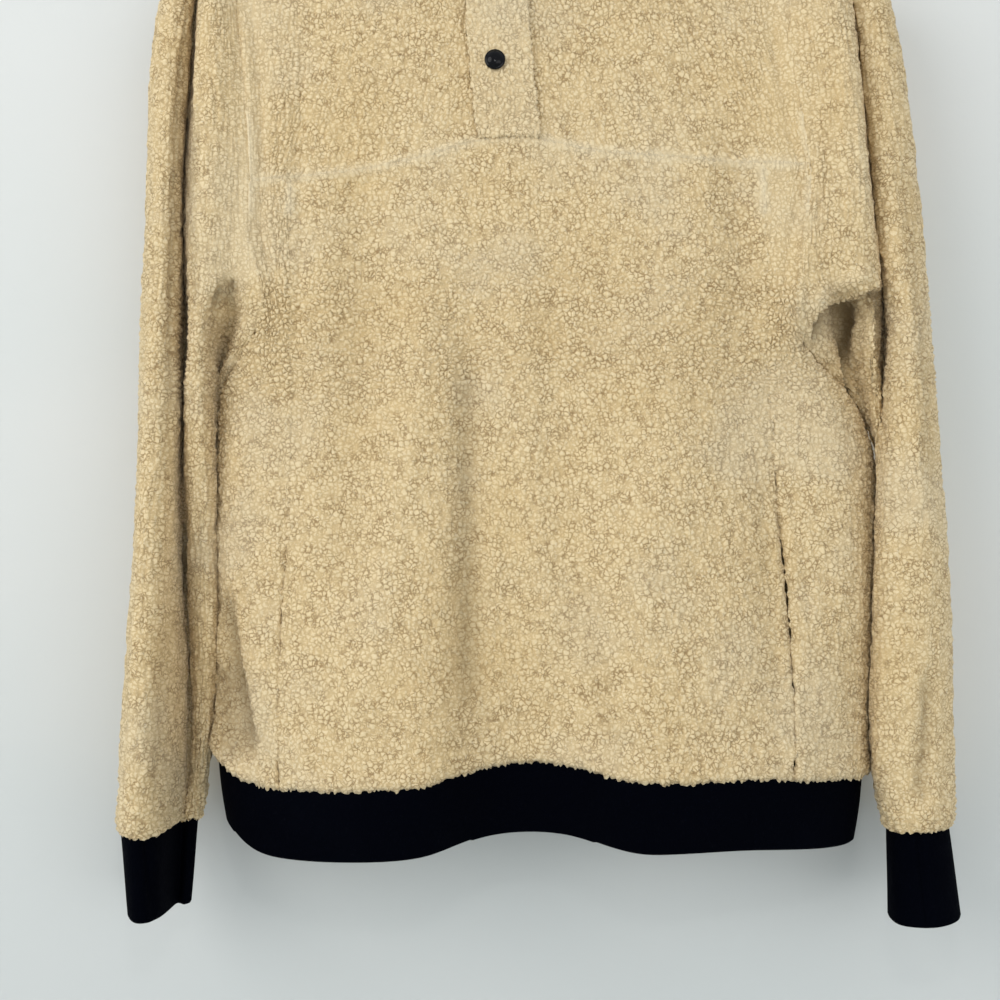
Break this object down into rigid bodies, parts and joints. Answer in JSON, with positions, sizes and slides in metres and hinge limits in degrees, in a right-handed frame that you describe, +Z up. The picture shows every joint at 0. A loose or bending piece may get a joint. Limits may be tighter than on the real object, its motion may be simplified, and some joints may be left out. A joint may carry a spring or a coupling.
{
  "type": "sherpa fleece pullover on a clothes hanger",
  "caption": "Sherpa fleece pullover with a stand collar, half-length snap placket, pocket slits in the side-front seams and smooth knit hem and cuffs, hung on a clothes hanger.",
  "frame": {"origin": "inside top of the hanger's hook, where it rests on a rail or nail", "axes": "+X to the right of someone facing the front of the garment, +Y back towards the wall, +Z up"},
  "size_m": [0.5967, 0.1215, 0.8308],
  "materials": {
    "fleece": "curly sherpa pile, cream",
    "knit": "fine smooth knit, near-black navy",
    "snap": "gloss black press stud",
    "hanger_wood": "satin varnish",
    "hanger_steel": "bright plated wire"
  },
  "bodies": {
    "root": {"front_yoke_left": "fleece", "front_yoke_right": "fleece", "front_centre_panel": "fleece", "side_front_left": "fleece", "side_front_right": "fleece", "back_panel": "fleece", "sleeve_left": "fleece", "sleeve_right": "fleece", "cuff_left": "knit", "cuff_right": "knit", "stand_collar": "fleece", "hem_band": "knit", "placket": "fleece", "snap_1": "snap", "snap_2": "snap", "snap_3": "snap", "hanger_bar": "hanger_wood", "hanger_hook": "hanger_steel"}
  },
  "joints": []
}
